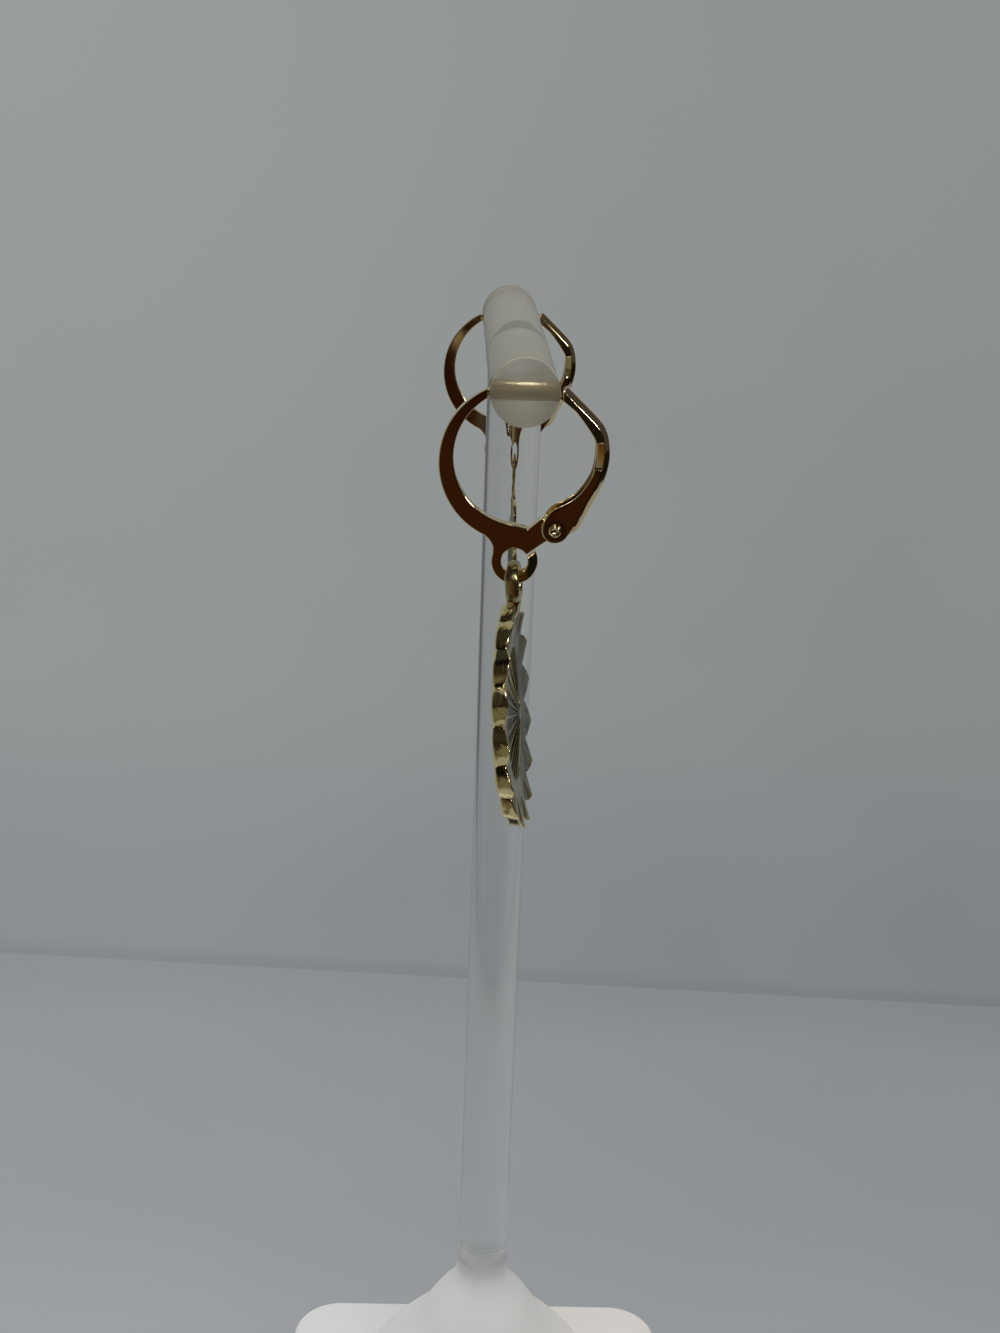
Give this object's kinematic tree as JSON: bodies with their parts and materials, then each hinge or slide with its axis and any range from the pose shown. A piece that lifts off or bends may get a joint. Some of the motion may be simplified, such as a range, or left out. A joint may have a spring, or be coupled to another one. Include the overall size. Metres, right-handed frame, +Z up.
{
  "type": "pair of huggie drop earrings on an acrylic t-bar stand",
  "caption": "Gold leverback huggie hoops with flat C-shaped fronts and petal-edged medallion drops, hanging on a clear acrylic T-bar stand with a square foot.",
  "frame": {"origin": "middle of the foot's underside, on the surface that the stand is on", "axes": "+Z up along the post, +Y along the bar towards its back end, +X towards the clasp side of the hoops"},
  "size_m": [0.036, 0.0549, 0.1073],
  "materials": {
    "acrylic": "clear polished acrylic",
    "gold": "polished gold plate"
  },
  "bodies": {
    "stand": {"foot": "acrylic", "post": "acrylic", "bar": "acrylic", "hoop_front": "gold", "rivet_front": "gold", "hoop_back": "gold", "rivet_back": "gold"},
    "lever_front": {"lever_front": "gold"},
    "lever_back": {"lever_back": "gold"},
    "drop_front": {"drop_front": "gold"},
    "drop_back": {"drop_back": "gold"}
  },
  "joints": [
    {"name": "lever_front_hinge", "type": "hinge", "parent": "stand", "child": "lever_front", "pos_m": [0.0024, -0.01935, 0.09555], "axis": [0, 1, 0], "range_deg": [0, 60]},
    {"name": "lever_back_hinge", "type": "hinge", "parent": "stand", "child": "lever_back", "pos_m": [0.0024, 0.01935, 0.09555], "axis": [0, 1, 0], "range_deg": [0, 60]},
    {"name": "drop_front_swing", "type": "hinge", "parent": "stand", "child": "drop_front", "pos_m": [-0.00026, -0.01935, 0.09326], "axis": [0, 1, 0], "range_deg": [-60, 60]},
    {"name": "drop_back_swing", "type": "hinge", "parent": "stand", "child": "drop_back", "pos_m": [-0.00026, 0.01935, 0.09326], "axis": [0, 1, 0], "range_deg": [-60, 60]}
  ]
}
